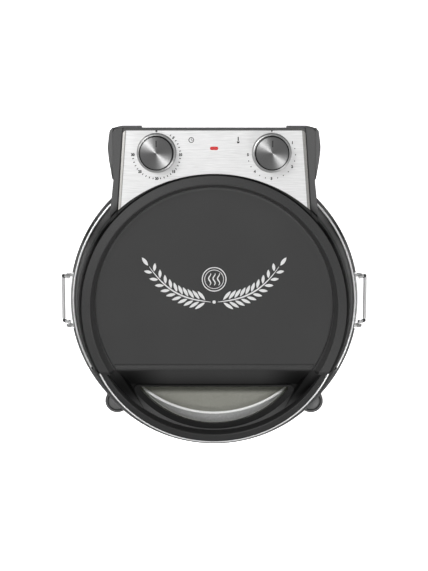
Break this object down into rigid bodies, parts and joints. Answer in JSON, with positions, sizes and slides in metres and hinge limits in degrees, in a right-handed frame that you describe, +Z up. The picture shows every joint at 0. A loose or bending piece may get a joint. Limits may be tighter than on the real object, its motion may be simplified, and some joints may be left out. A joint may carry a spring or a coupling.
{
  "type": "electric pizza maker",
  "caption": "Countertop pizza cooker: round base with a baking stone under a hinged heated lid that has a viewing window, a front handle, timer and thermostat knobs.",
  "frame": {"origin": "centre of the footprint's bounding box on the plane the feet stand on", "axes": "+Z up, -Y towards the front handle, +X to the right as seen by the user in front"},
  "size_m": [0.3772, 0.3874, 0.1292],
  "materials": {
    "shell_plastic": "moulded, satin",
    "lid_paint": "fine-textured dark grey paint",
    "housing_plastic": "moulded, satin",
    "black_plastic": "moulded, satin",
    "panel_steel": "bright brushed",
    "steel_sheet": "pressed sheet",
    "liner_steel": "pressed sheet, bright",
    "chrome": "polished",
    "knob_metal": "spun",
    "heater_steel": "heat-darkened",
    "rubber": "matte",
    "stone": "rough baked cordierite",
    "window_glass": "clear, slightly grey",
    "lamp_lens": "translucent red",
    "pale_plastic": "moulded",
    "copper": "drawn copper"
  },
  "bodies": {
    "base": {"base_shell": "shell_plastic", "base_bottom": "steel_sheet", "front_legs": "housing_plastic", "foot_pads": "rubber", "rear_bridge": "shell_plastic", "bridge_cover": "steel_sheet", "left_hinge_tower": "housing_plastic", "right_hinge_tower": "housing_plastic", "hinge_pins": "steel_sheet", "cord_gland": "black_plastic", "terminal_block": "pale_plastic", "reflector_dish": "liner_steel", "lower_heater": "heater_steel", "lower_heater_clips": "steel_sheet", "base_screws": "steel_sheet", "stone_carrier": "steel_sheet", "baking_stone": "stone"},
    "lid": {"lid_shell": "shell_plastic", "lid_cover": "lid_paint", "lid_trim_ring": "chrome", "lid_liner": "liner_steel", "upper_heater": "heater_steel", "upper_heater_clips": "steel_sheet", "guard_ring": "chrome", "window_frame": "black_plastic", "window_glass": "window_glass", "handle_bar": "shell_plastic", "handle_trim": "chrome", "control_panel": "panel_steel", "housing_cover": "shell_plastic", "timer_unit": "pale_plastic", "thermostat_unit": "pale_plastic", "thermostat_bulb": "copper", "unit_nuts": "steel_sheet", "indicator_lens": "lamp_lens", "indicator_lamp": "pale_plastic", "lid_screws": "steel_sheet"},
    "timer_knob": {"timer_skirt": "chrome", "timer_cap": "knob_metal", "timer_shaft": "steel_sheet"},
    "thermostat_knob": {"thermostat_skirt": "chrome", "thermostat_cap": "knob_metal", "thermostat_shaft": "steel_sheet"},
    "left_bail": {"left_bail": "chrome"},
    "right_bail": {"right_bail": "chrome"}
  },
  "joints": [
    {"name": "lid_hinge", "type": "hinge", "parent": "base", "child": "lid", "pos_m": [0, 0.1665, 0.092], "axis": [-1, 0, 0], "range_deg": [0, 97]},
    {"name": "timer_turn", "type": "hinge", "parent": "lid", "child": "timer_knob", "pos_m": [-0.0663, 0.1641, 0.114], "axis": [0, 0, -1], "range_deg": [0, 270]},
    {"name": "thermostat_turn", "type": "hinge", "parent": "lid", "child": "thermostat_knob", "pos_m": [0.0663, 0.1641, 0.114], "axis": [0, 0, -1], "range_deg": [0, 270]},
    {"name": "left_bail_swing", "type": "hinge", "parent": "base", "child": "left_bail", "pos_m": [-0.178, -0.0175, 0.0505], "axis": [0, 1, 0], "range_deg": [0, 95]},
    {"name": "right_bail_swing", "type": "hinge", "parent": "base", "child": "right_bail", "pos_m": [0.178, -0.0175, 0.0505], "axis": [0, -1, 0], "range_deg": [0, 95]}
  ]
}
